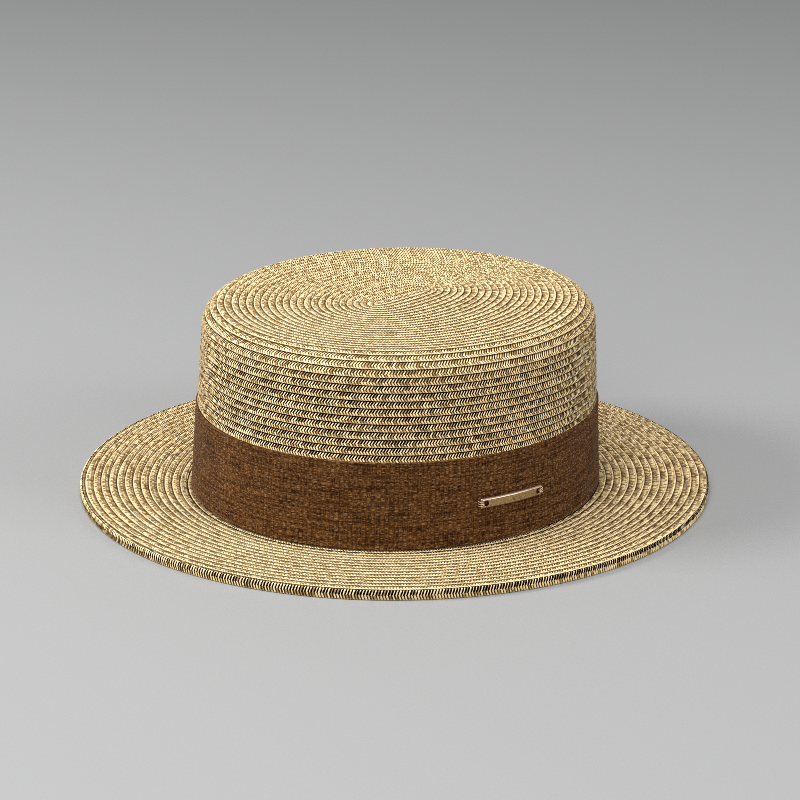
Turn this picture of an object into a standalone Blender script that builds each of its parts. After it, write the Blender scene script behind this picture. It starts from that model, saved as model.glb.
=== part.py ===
"""A straw boater: a flat-topped oval crown and a nearly flat brim of sewn straw braid, a plain ribbon
round the foot of the crown, and a small metal plate on the ribbon.

Metres, +Z up. The hat rests on Z = 0 with its middle at X = Y = 0. Its front faces -Y, so the wearer's
left side is +X, where the plate is. Run with: blender --background --python part.py
"""

import math

import bmesh
import bpy
from mathutils import Matrix, Vector

# The head opening, measured inside the crown's foot
HEAD_LENGTH = 0.192
HEAD_WIDTH = 0.174

# The straw: its wall, the height and width of each shingled row of braid
STRAW_WALL = 0.0016
ROW_STEP = 0.0005
ROW_PITCH = 0.00345

# The crown
CROWN_HEIGHT = 0.0886
SIDE_LEAN = 0.0038
CORNER_RADIUS = 0.0105
TIP_START_LENGTH = 0.0300

# The brim, how far it sinks from its outer edge to the crown, and its turned edge row
BRIM_WIDTH = 0.0495
BRIM_TOP = 0.0042
BRIM_SINK = 0.0023
EDGE_HEIGHT = 0.0045
EDGE_THICKNESS = 0.0018
EDGE_ROUNDING = 0.0006

# The ribbon and its lapped join at the back
BAND_WIDTH = 0.0394
BAND_THICKNESS = 0.0010
LAP_WIDTH = 0.014

# The metal plate, its place round the hat counted from the front, and its height up the ribbon
PLATE_LENGTH = 0.034
PLATE_WIDTH = 0.0046
PLATE_THICKNESS = 0.0010
PLATE_AZIMUTH = math.radians(77)
PLATE_SHARE_UP_BAND = 0.46
PLATE_BEVEL = 0.00025
HOLE_DIAMETER = 0.0020
HOLE_INSET = 0.0026

# Every piece stands this far off its neighbour
CLEARANCE = 0.0003

# Flat facets round the hat, round a plate hole, round the crown's corner and across the brim's
# underside
SEGMENTS = 44
HOLE_SIDES = 12
CORNER_STEPS = 4
UNDERSIDE_STEPS = 3
LAP_STEPS = 4
PLATE_STEPS = 6

# Worked out from the sizes above. A section at half-width s is an oval of half-length s + lengthening.
LENGTHENING = (HEAD_LENGTH - HEAD_WIDTH) / 2
FOOT = HEAD_WIDTH / 2 + STRAW_WALL
SHOULDER = FOOT - SIDE_LEAN
SHOULDER_HEIGHT = CROWN_HEIGHT - CORNER_RADIUS
FOOT_HEIGHT = BRIM_TOP - BRIM_SINK - STRAW_WALL
BAND_FOOT = FOOT_HEIGHT + STRAW_WALL + ROW_STEP + CLEARANCE
BAND_TOP = BAND_FOOT + BAND_WIDTH
BRIM_INSIDE = FOOT + CLEARANCE
BRIM_OUTSIDE = FOOT + BRIM_WIDTH

COLOURS = {
    "pale_straw": ((0.66, 0.50, 0.28), 0.62, 0.0),
    "brown_ribbon": ((0.20, 0.105, 0.045), 0.85, 0.0),
    "pale_gold": ((0.80, 0.58, 0.42), 0.32, 1.0),
}


def clear_scene():
    for thing in list(bpy.data.objects):
        bpy.data.objects.remove(thing, do_unlink=True)


def new_collection(name):
    collection = bpy.data.collections.new(name)
    bpy.context.scene.collection.children.link(collection)
    return collection


def finish_material(slot, name):
    """A Principled material of the slot's colour, under the piece's own name."""
    colour, roughness, metallic = COLOURS[slot]
    material = bpy.data.materials.new(name)
    material.use_nodes = True
    shader = material.node_tree.nodes["Principled BSDF"]
    shader.inputs["Base Color"].default_value = (*colour, 1.0)
    shader.inputs["Roughness"].default_value = roughness
    shader.inputs["Metallic"].default_value = metallic
    return material


def new_piece(name, mesh, collection, slot):
    piece = bpy.data.objects.new(name, mesh)
    collection.objects.link(piece)
    mesh.materials.clear()
    mesh.materials.append(finish_material(slot, name))
    return piece


def baked(piece):
    """Replaces the object's mesh with what its modifiers make of it, and drops the modifiers."""
    graph = bpy.context.evaluated_depsgraph_get()
    mesh = bpy.data.meshes.new_from_object(piece.evaluated_get(graph))
    old = piece.data
    piece.modifiers.clear()
    piece.data = mesh
    bpy.data.meshes.remove(old)
    mesh.name = piece.name
    return mesh


def side_at(height):
    """Half-width of the crown's smooth side at a height: it leans in from the foot to the shoulder."""
    share = (height - FOOT_HEIGHT) / (SHOULDER_HEIGHT - FOOT_HEIGHT)
    return FOOT - SIDE_LEAN * share


def lengthening_at(half_width):
    """How much longer than wide the half-section is. The tip's braid starts round a longer line, and
    the difference settles to the head's own by the shoulder."""
    start = TIP_START_LENGTH / 2
    share = min(1.0, half_width / SHOULDER)
    return start + (LENGTHENING - start) * share


def draw_to_oval(mesh, lengthening):
    """Draws a turned shape apart into an oval: each point moves along Y by the sine of its angle times
    the lengthening at its half-width."""
    for vertex in mesh.vertices:
        across, along = vertex.co.x, vertex.co.y
        radius = math.hypot(across, along)
        vertex.co.y = along + lengthening(radius) * along / radius


def close_and_face_out(mesh):
    """Fills open rings with one flat face each, and turns every face outwards."""
    work = bmesh.new()
    work.from_mesh(mesh)
    rims = [edge for edge in work.edges if edge.is_boundary]
    if rims:
        bmesh.ops.holes_fill(work, edges=rims, sides=0)
    bmesh.ops.recalc_face_normals(work, faces=work.faces)
    work.to_mesh(mesh)
    work.free()
    mesh.shade_smooth()
    mesh.set_sharp_from_angle(angle=math.radians(32))


def turned(name, profile, collection, slot, closed, angle=2 * math.pi, steps=SEGMENTS):
    """An object turned round Z from (half-width, height) points by a Screw modifier, then baked."""
    mesh = bpy.data.meshes.new(name)
    edges = [(i, i + 1) for i in range(len(profile) - 1)]
    if closed:
        edges.append((len(profile) - 1, 0))
    mesh.from_pydata([(across, 0.0, up) for across, up in profile], edges, [])
    piece = new_piece(name, mesh, collection, slot)
    screw = piece.modifiers.new("turn", "SCREW")
    screw.axis = "Z"
    screw.angle = angle
    screw.steps = steps
    screw.render_steps = steps
    screw.use_merge_vertices = angle >= 2 * math.pi
    screw.merge_threshold = 1e-6
    baked(piece)
    return piece


def crown_surface():
    """The crown's smooth outer line as (point, outward normal) at a distance along it, from the middle
    of the tip over the corner to the foot, with its whole length."""
    tip = SHOULDER - CORNER_RADIUS
    down = Vector((FOOT - SHOULDER, FOOT_HEIGHT - SHOULDER_HEIGHT))
    corner = CORNER_RADIUS * math.pi / 2

    def at(distance):
        if distance <= tip:
            return Vector((distance, CROWN_HEIGHT)), Vector((0.0, 1.0))
        if distance <= tip + corner:
            turn = (distance - tip) / CORNER_RADIUS
            normal = Vector((math.sin(turn), math.cos(turn)))
            return Vector((tip, SHOULDER_HEIGHT)) + normal * CORNER_RADIUS, normal
        share = (distance - tip - corner) / down.length
        normal = Vector((-down.y, down.x)).normalized()
        return Vector((SHOULDER, SHOULDER_HEIGHT)) + down * share, normal

    return at, tip + corner + down.length


def crown_profile():
    """Shingled rows from the middle of the tip down to the ribbon, a smooth foot behind the ribbon, and
    a smooth inside one wall further in."""
    at, whole = crown_surface()
    covered = (BAND_TOP - FOOT_HEIGHT) / (SHOULDER_HEIGHT - FOOT_HEIGHT)
    shown = whole - covered * math.hypot(SIDE_LEAN, SHOULDER_HEIGHT - FOOT_HEIGHT)
    rows = round(shown / ROW_PITCH)
    pitch = shown / rows
    points = []
    for row in range(rows):
        near, _ = at(pitch * (row + 0.5 * (row == 0)))
        far, outward = at(pitch * (row + 1))
        points += [near, far + outward * ROW_STEP]
    points += [at(shown)[0], Vector((FOOT, FOOT_HEIGHT))]

    inner_tip = SHOULDER - CORNER_RADIUS
    inner_corner = CORNER_RADIUS - STRAW_WALL
    points.append(Vector((FOOT - STRAW_WALL, FOOT_HEIGHT)))
    for step in range(CORNER_STEPS + 1):
        turn = math.pi / 2 * (1 - step / CORNER_STEPS)
        bend = Vector((math.sin(turn), math.cos(turn))) * inner_corner
        points.append(Vector((inner_tip, SHOULDER_HEIGHT)) + bend)
    points += [
        Vector((inner_tip / 2, CROWN_HEIGHT - STRAW_WALL)),
        Vector((pitch / 2, CROWN_HEIGHT - STRAW_WALL)),
    ]
    return points


def brim_at(share):
    """Half-width and height of the brim's smooth top at a share of its width from the crown: it rises
    as a quarter of a sine wave, and is level at its outer edge."""
    half_width = BRIM_INSIDE + (BRIM_OUTSIDE - BRIM_INSIDE) * share
    return half_width, BRIM_TOP - BRIM_SINK * (1 - math.sin(math.pi / 2 * share))


def brim_profile():
    """Shingled rows on top, each row's outer edge over the next row, and a smooth underside."""
    rows = round((BRIM_OUTSIDE - BRIM_INSIDE) / ROW_PITCH)
    points = []
    for row in range(rows):
        far, up = brim_at((row + 1) / rows)
        points += [brim_at(row / rows), (far, up + ROW_STEP)]
    for step in range(UNDERSIDE_STEPS, -1, -1):
        across, up = brim_at(step / UNDERSIDE_STEPS)
        points.append((across, up - STRAW_WALL))
    return points


def edge_profile():
    """The turned-down row: flat below, where the hat rests, and rounded at its upper outer corner."""
    inside = BRIM_OUTSIDE + CLEARANCE
    outside = inside + EDGE_THICKNESS
    eased = EDGE_ROUNDING * (1 - math.sqrt(0.5))
    return [
        (inside, EDGE_HEIGHT),
        (outside - EDGE_ROUNDING, EDGE_HEIGHT),
        (outside - eased, EDGE_HEIGHT - eased),
        (outside, EDGE_HEIGHT - EDGE_ROUNDING),
        (outside, EDGE_ROUNDING),
        (outside - EDGE_ROUNDING, 0.0),
        (inside, 0.0),
    ]


def band_profile():
    """The ribbon's section: it follows the crown's leaning side, clear of it all round."""
    inner = [(side_at(up) + CLEARANCE, up) for up in (BAND_FOOT, BAND_TOP)]
    outer = [(across + BAND_THICKNESS, up) for across, up in reversed(inner)]
    return outer + inner


def head_oval(_half_width):
    return LENGTHENING


def build_crown(collection):
    points = crown_profile()
    crown = turned("crown", points, collection, "pale_straw", closed=False)
    draw_to_oval(crown.data, lengthening_at)
    close_and_face_out(crown.data)
    return crown


def build_ring(name, profile, collection, slot):
    """A closed ring round the head: the brim, its edge row or the ribbon."""
    ring = turned(name, profile, collection, slot, closed=True)
    draw_to_oval(ring.data, head_oval)
    close_and_face_out(ring.data)
    return ring


def build_band_lap(collection):
    """The ribbon's folded end, sewn over its start in the middle of the back: a strip of the ribbon's
    own outer surface, given the ribbon's thickness by Solidify."""
    out = CLEARANCE + BAND_THICKNESS + CLEARANCE
    line = [(side_at(up) + out, up) for up in (BAND_TOP, BAND_FOOT)]
    spread = LAP_WIDTH / line[1][0]
    lap = turned("band_lap", line, collection, "brown_ribbon", False, spread, LAP_STEPS)
    lap.data.transform(Matrix.Rotation(math.pi / 2 - spread / 2, 4, "Z"))
    draw_to_oval(lap.data, head_oval)
    work = bmesh.new()
    work.from_mesh(lap.data)
    bmesh.ops.recalc_face_normals(work, faces=work.faces)
    if sum(face.normal.y for face in work.faces) < 0:
        bmesh.ops.reverse_faces(work, faces=work.faces)
    work.to_mesh(lap.data)
    work.free()
    wall = lap.modifiers.new("ribbon", "SOLIDIFY")
    wall.thickness = BAND_THICKNESS
    wall.offset = 1.0
    wall.use_even_offset = True
    baked(lap)
    close_and_face_out(lap.data)
    return lap


def plate_hole_cutter(across, collection):
    """A round cutter through the plate, across from its middle."""
    mesh = bpy.data.meshes.new("plate_hole")
    work = bmesh.new()
    bmesh.ops.create_cone(
        work,
        cap_ends=True,
        segments=HOLE_SIDES,
        radius1=HOLE_DIAMETER / 2,
        radius2=HOLE_DIAMETER / 2,
        depth=4 * PLATE_THICKNESS,
        matrix=Matrix.Rotation(math.pi / 2, 4, "X"),
    )
    work.to_mesh(mesh)
    work.free()
    cutter = bpy.data.objects.new("plate_hole", mesh)
    collection.objects.link(cutter)
    cutter.location = (across, PLATE_THICKNESS / 2, 0.0)
    cutter.hide_render = True
    cutter.display_type = "WIRE"
    return cutter


def plate_blank():
    """A flat bar with its back at Y = 0, cut across so that it can be bent."""
    mesh = bpy.data.meshes.new("plate")
    work = bmesh.new()
    bmesh.ops.create_cube(work, size=1.0)
    bmesh.ops.scale(work, vec=(PLATE_LENGTH, PLATE_THICKNESS, PLATE_WIDTH), verts=work.verts)
    bmesh.ops.translate(work, vec=(0.0, PLATE_THICKNESS / 2, 0.0), verts=work.verts)
    reach = PLATE_LENGTH / 2 - 2 * HOLE_INSET
    for step in range(PLATE_STEPS + 1):
        bmesh.ops.bisect_plane(
            work,
            geom=work.verts[:] + work.edges[:] + work.faces[:],
            plane_co=(reach * (2 * step / PLATE_STEPS - 1), 0.0, 0.0),
            plane_no=(1.0, 0.0, 0.0),
        )
    work.to_mesh(mesh)
    work.free()
    return mesh


def build_plate(collection, cutters):
    """The bar, drilled near each end, bent to the crown's curve and leaned with its side."""
    plate = new_piece("plate", plate_blank(), collection, "pale_gold")
    ease = plate.modifiers.new("eased_edges", "BEVEL")
    ease.width = PLATE_BEVEL
    ease.segments = 1
    ease.limit_method = "ANGLE"
    for side in (-1, 1):
        hole = plate.modifiers.new("thread_hole", "BOOLEAN")
        hole.operation = "DIFFERENCE"
        hole.solver = "EXACT"
        hole.object = plate_hole_cutter(side * (PLATE_LENGTH / 2 - HOLE_INSET), cutters)
    bpy.context.view_layer.update()
    mesh = baked(plate)

    # The ribbon's outer oval at the plate's height, and the radius of its curve there
    up = BAND_FOOT + BAND_WIDTH * PLATE_SHARE_UP_BAND
    across = side_at(up) + CLEARANCE + BAND_THICKNESS
    along = across + LENGTHENING
    sine, cosine = math.sin(PLATE_AZIMUTH), math.cos(PLATE_AZIMUTH)
    touch = Vector((across * sine, -along * cosine, up))
    outward = Vector((sine / across, -cosine / along, 0.0)).normalized()
    bend = math.hypot(across * cosine, along * sine) ** 3 / (across * along)
    for vertex in mesh.vertices:
        turn = vertex.co.x / bend
        reach = bend + vertex.co.y
        vertex.co.x = reach * math.sin(turn)
        vertex.co.y = reach * math.cos(turn) - bend
    close_and_face_out(mesh)

    lean = math.atan2(SIDE_LEAN, SHOULDER_HEIGHT - FOOT_HEIGHT)
    face = math.atan2(outward.y, outward.x) - math.pi / 2
    plate.location = touch + outward * CLEARANCE
    plate.rotation_euler = (lean, 0.0, face)
    return plate


def main():
    clear_scene()
    hat = new_collection("straw_boater_hat")
    cutters = new_collection("cutters")
    build_crown(hat)
    build_ring("brim", brim_profile(), hat, "pale_straw")
    build_ring("brim_edge", edge_profile(), hat, "pale_straw")
    build_ring("band", band_profile(), hat, "brown_ribbon")
    build_band_lap(hat)
    build_plate(hat, cutters)


main()
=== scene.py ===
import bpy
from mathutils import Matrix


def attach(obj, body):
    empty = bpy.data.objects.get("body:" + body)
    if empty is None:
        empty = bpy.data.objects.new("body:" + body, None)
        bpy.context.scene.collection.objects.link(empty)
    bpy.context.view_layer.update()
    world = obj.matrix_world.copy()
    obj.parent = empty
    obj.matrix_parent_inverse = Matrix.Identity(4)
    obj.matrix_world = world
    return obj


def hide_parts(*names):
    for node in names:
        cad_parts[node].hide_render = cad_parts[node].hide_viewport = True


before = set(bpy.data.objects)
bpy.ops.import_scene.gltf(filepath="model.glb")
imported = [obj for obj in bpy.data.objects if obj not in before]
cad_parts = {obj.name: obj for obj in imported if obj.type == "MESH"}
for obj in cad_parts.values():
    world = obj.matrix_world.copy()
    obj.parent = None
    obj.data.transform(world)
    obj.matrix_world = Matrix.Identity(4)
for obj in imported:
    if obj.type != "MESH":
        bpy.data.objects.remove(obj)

"""Dresses a straw boater: a flat oval crown and a flat brim of sewn braid, a linen ribbon and a small
metal plate held by thread.

Metres, +Z up, the hat's front towards -Y, its plate on +X. Every surface is a numpy grid. A section of
the hat at half-width s is the oval x = s cos(turn), y = (s + lengthening) sin(turn).
"""

import logging
import math
from collections.abc import Callable
from dataclasses import dataclass, field
from enum import Enum

import bmesh
import bpy
import numpy as np
from mathutils import Matrix, Vector

logging.basicConfig(level=logging.INFO, format="%(message)s")
LOG = logging.getLogger("boater")
MILLI = 1000
PLAIN_COLUMNS = 240
CORNERS = ((0, 0), (1, 0), (1, 1), (0, 1))
# Rows of braid in section, as (share across the row, share of the step that it stands off by).
FACE_ROW = ((0.0, 0.0), (0.09, 0.16), (0.28, 0.42), (0.52, 0.66), (0.78, 0.92), (0.92, 1.0), (1.0, 0.84))
PLAIN_ROW = ((0.0, 0.0), (0.3, 0.2), (0.7, 0.5), (1.0, 0.6))
Colour = tuple[float, float, float]
Profile = tuple[np.ndarray, np.ndarray, np.ndarray, np.ndarray]
Line = Callable[[np.ndarray], Profile]
Along = Callable[[np.ndarray], np.ndarray]
Socket = bpy.types.NodeSocket
Value = Socket | float


class Slot(Enum):
    """The record's material slots."""

    STRAW = "pale_straw"
    RIBBON = "brown_ribbon"
    METAL = "pale_gold"


class Openness(Enum):
    """How dark the slots between the strands look: upright rows shade their own slots, while rows that
    lie flat are open to the light."""

    LYING = 0.45
    UPRIGHT = 1.0


@dataclass(frozen=True)
class HatShape:
    """The hat's sizes, in metres, as the solids have them."""

    foot: float = 0.0886
    shoulder: float = 0.0848
    shoulder_height: float = 0.0781
    foot_height: float = 0.0003
    corner_radius: float = 0.0105
    lengthening: float = 0.009
    start_half_length: float = 0.015
    blunt_start: float = 0.32
    blunt_gain: float = 1.2
    straw_wall: float = 0.0016
    row_step: float = 0.0005
    row_pitch: float = 0.00345
    strand_pitch: float = 0.00130
    brim_inside: float = 0.0889
    brim_outside: float = 0.1381
    brim_top: float = 0.0042
    brim_sink: float = 0.0023
    lip_radius: float = 0.0012
    edge_height: float = 0.0045
    edge_thickness: float = 0.0018
    band_foot: float = 0.0027
    band_top: float = 0.0421
    clearance: float = 0.0003

    @property
    def tip_reach(self) -> float:
        """Distance from the middle of the tip to where its corner begins."""
        return self.shoulder - self.corner_radius

    @property
    def corner_length(self) -> float:
        """Length of the quarter circle between tip and side."""
        return self.corner_radius * math.pi / 2

    @property
    def side_length(self) -> float:
        """Length of the leaning side from the shoulder to the foot."""
        return math.hypot(self.foot - self.shoulder, self.shoulder_height - self.foot_height)

    @property
    def crown_length(self) -> float:
        """Length of the crown's whole line, from the middle of the tip to the foot."""
        return self.tip_reach + self.corner_length + self.side_length

    @property
    def lean(self) -> float:
        """Angle of the crown's side from upright."""
        return math.atan2(self.foot - self.shoulder, self.shoulder_height - self.foot_height)

    @property
    def brim_width(self) -> float:
        """Width of the brim's upper side."""
        return self.brim_outside - self.brim_inside

    def side_at(self, height: np.ndarray | float) -> np.ndarray | float:
        """Half-width of the crown's smooth side at a height: a straight lean from foot to shoulder."""
        share = (height - self.foot_height) / (self.shoulder_height - self.foot_height)
        return self.foot - (self.foot - self.shoulder) * share

    def distance_at(self, height: float) -> float:
        """Distance along the crown's line at which its side has this height."""
        share = (self.shoulder_height - height) / (self.shoulder_height - self.foot_height)
        return self.tip_reach + self.corner_length + self.side_length * share

    def crown_line(self, distance: np.ndarray) -> Profile:
        """The crown's outer line: level over the tip, a quarter circle, then a straight leaning side.

        Args:
            distance: Distances along the line from the middle of the tip.

        Returns:
            Half-width, height, and the outward normal's two parts at each distance.
        """
        turn = np.clip((distance - self.tip_reach) / self.corner_radius, 0.0, math.pi / 2)
        down = np.maximum(distance - self.tip_reach - self.corner_length, 0.0) / self.side_length
        flat = np.minimum(distance, self.tip_reach)
        across = flat + self.corner_radius * np.sin(turn) + (self.foot - self.shoulder) * down
        fall = (self.shoulder_height - self.foot_height) * down
        up = self.shoulder_height + self.corner_radius * np.cos(turn) - fall
        tilt = np.where(down > 0, math.pi / 2 - self.lean, turn)
        return across, up, np.sin(tilt), np.cos(tilt)

    def inner_line(self, distance: np.ndarray) -> Profile:
        """The crown's inside line: the outer one, moved one wall further in.

        Args:
            distance: Distances along the outer line.

        Returns:
            Half-width, height, and the outward normal's two parts at each distance.
        """
        half, up, out, over = self.crown_line(distance)
        half = np.maximum(half - self.straw_wall * out, 0.0)
        return half, up - self.straw_wall * over, out, over

    def brim_line(self, distance: np.ndarray) -> Profile:
        """The brim's upper line: it rises towards the crown as a quarter of a sine wave, and past its
        outer edge it turns down round a small circle, over the edge row.

        Args:
            distance: Distances out from the brim's inner edge.

        Returns:
            Half-width, height, and the normal's two parts at each distance.
        """
        share = np.clip(distance / self.brim_width, 0.0, 1.0)
        slope = self.brim_sink * math.pi / 2 / self.brim_width * np.cos(math.pi / 2 * share)
        turn = np.maximum(distance - self.brim_width, 0.0) / self.lip_radius
        across = self.brim_inside + self.brim_width * share + self.lip_radius * np.sin(turn)
        up = self.brim_top - self.brim_sink * (1 - np.sin(math.pi / 2 * share))
        up = up - self.lip_radius * (1 - np.cos(turn))
        tilt = turn - np.arctan(slope)
        return across, up, np.sin(tilt), np.cos(tilt)

    def under_line(self, distance: np.ndarray) -> Profile:
        """The brim's lower line: its upper one, one wall lower."""
        half, up, out, over = self.brim_line(distance)
        return half, up - self.straw_wall, out, over

    def points(self, half_width: np.ndarray, height: np.ndarray | float, turn: np.ndarray) -> np.ndarray:
        """Points on the hat's oval sections.

        x = s cos(turn), y = s sin(turn) + lengthening g(q), with q = sin(turn). From the shoulder
        outwards g is q itself, an ellipse. Towards the middle of the tip it bends to q sqrt(1 + w w) /
        sqrt(q q + w w), which has straight sides and round ends, as rows sewn round a straight start
        have; w grows with s.

        Args:
            half_width: Half-widths s.
            height: Heights.
            turn: Angles from +X. The three broadcast together.

        Returns:
            An array of points, the common shape x 3.
        """
        share = np.clip(half_width / self.shoulder, 0.0, 1.0)
        longer = self.start_half_length + (self.lengthening - self.start_half_length) * share
        sine = np.sin(turn)
        blunt = self.blunt_start + self.blunt_gain * share
        straight = sine * np.sqrt(1 + blunt**2) / np.sqrt(sine**2 + blunt**2)
        ease = share * share * (3 - 2 * share)
        along = straight + (sine - straight) * ease
        x, y = half_width * np.cos(turn), half_width * sine + longer * along
        return np.stack([x, y, np.broadcast_to(height, x.shape)], -1)


SHAPE = HatShape()


def full_turn(count: int) -> np.ndarray:
    """Angles of equally spaced places round a full turn."""
    return 2 * math.pi * np.arange(count) / count


def travelled(*tracks: np.ndarray) -> np.ndarray:
    """Distance run along a line of points, given as its coordinates, from 0 at the first."""
    hops = np.linalg.norm([np.diff(track) for track in tracks], axis=0)
    return np.concatenate([[0.0], np.cumsum(hops)])


def smooth_noise(at: np.ndarray, seed: int, period: float) -> np.ndarray:
    """Soft seeded waviness: the mean of four sine waves whose lengths are near the period.

    Args:
        at: Places along a line.
        seed: Chooses the waves.
        period: Their rough length.

    Returns:
        A number from -1 to 1 for each place.
    """
    pick = np.random.default_rng(seed)
    lengths, starts = period * pick.uniform(0.6, 1.9, 4), pick.uniform(0, 2 * math.pi, 4)
    waves = np.sin(at[..., None] * (2 * math.pi / lengths) + starts)
    return waves.mean(-1)


@dataclass
class Patch:
    """A surface of quads: its points, n x 3, its faces, f x 4 indices counted so that they face outwards,
    and the map's coordinates at each face's corners, f x 4 x 2."""

    points: np.ndarray
    faces: np.ndarray
    uv: np.ndarray

    @classmethod
    def grid(cls, points: np.ndarray, along: np.ndarray, across: np.ndarray, flip: bool = False) -> "Patch":
        """A rows x columns grid whose last column joins its first.

        Args:
            points: Points, rows x columns x 3.
            along: The map's first coordinate, which broadcasts with the second to rows x (columns + 1),
                as the seam has two values.
            across: The map's second coordinate.
            flip: Turns the faces round.

        Returns:
            The patch.
        """
        rows, columns = points.shape[:2]
        row, column = np.meshgrid(np.arange(rows - 1), np.arange(columns), indexing="ij")
        quads = [(row + i) * columns + (column + k) % columns for i, k in CORNERS]
        faces = np.stack(quads, -1).reshape(-1, 4)
        maps = [
            np.stack([table[row + i, column + k] for i, k in CORNERS], -1).reshape(-1, 4)
            for table in np.broadcast_arrays(along, across)
        ]
        uv = np.stack(maps, -1)
        if flip:
            faces, uv = faces[:, ::-1], uv[:, ::-1]
        return cls(points.reshape(-1, 3), faces, uv)

    @classmethod
    def joined(cls, patches: "list[Patch]") -> "Patch":
        """Several patches as one.

        Args:
            patches: The patches.

        Returns:
            One patch that holds them all.
        """
        starts = np.cumsum([0] + [len(patch.points) for patch in patches])
        return cls(
            np.concatenate([patch.points for patch in patches]),
            np.concatenate([patch.faces + start for patch, start in zip(patches, starts)]),
            np.concatenate([patch.uv for patch in patches]),
        )

    def piece(
        self,
        name: str,
        material: bpy.types.Material,
        openness: np.ndarray | float | None = None,
        sharp: float = 38.0,
    ) -> bpy.types.Object:
        """Puts the patch into a mesh object at the origin, merges coincident points and shades it.

        Args:
            name: The piece's name.
            material: The finish.
            openness: A number for all points or for each, for the straw's slots, or None.
            sharp: Edges that bend by more than this many degrees stay crisp.

        Returns:
            The new object.
        """
        mesh = bpy.data.meshes.new(name)
        mesh.vertices.add(len(self.points))
        mesh.vertices.foreach_set("co", self.points.astype(np.float32).ravel())
        mesh.loops.add(self.faces.size)
        mesh.loops.foreach_set("vertex_index", self.faces.astype(np.int32).ravel())
        mesh.polygons.add(len(self.faces))
        mesh.polygons.foreach_set("loop_start", np.arange(0, self.faces.size, 4, dtype=np.int32))
        mesh.uv_layers.new(name="weave").uv.foreach_set("vector", self.uv.astype(np.float32).ravel())
        if openness is not None:
            values = np.broadcast_to(openness, len(self.points)).astype(np.float32)
            mesh.attributes.new("openness", "FLOAT", "POINT").data.foreach_set("value", values)
        mesh.update(calc_edges=True)
        mesh.validate()
        work = bmesh.new()
        work.from_mesh(mesh)
        bmesh.ops.remove_doubles(work, verts=work.verts, dist=2e-7)
        work.to_mesh(mesh)
        work.free()
        mesh.shade_smooth()
        mesh.set_sharp_from_angle(angle=math.radians(sharp))
        mesh.materials.append(material)
        return placed_object(name, mesh)


def placed_object(name: str, data: bpy.types.ID) -> bpy.types.Object:
    """A new object of some data, linked into the scene.

    Args:
        name: The object's name.
        data: Its mesh, lamp or camera.

    Returns:
        The object, at the origin.
    """
    made = bpy.data.objects.new(name, data)
    bpy.context.scene.collection.objects.link(made)
    return made


@dataclass(frozen=True)
class Grain:
    """A noise pattern: how many of its steps go to one unit of each map coordinate, the place that its
    third coordinate is held at, and its detail."""

    per_u: float
    per_v: float
    seed: float
    detail: float


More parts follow.
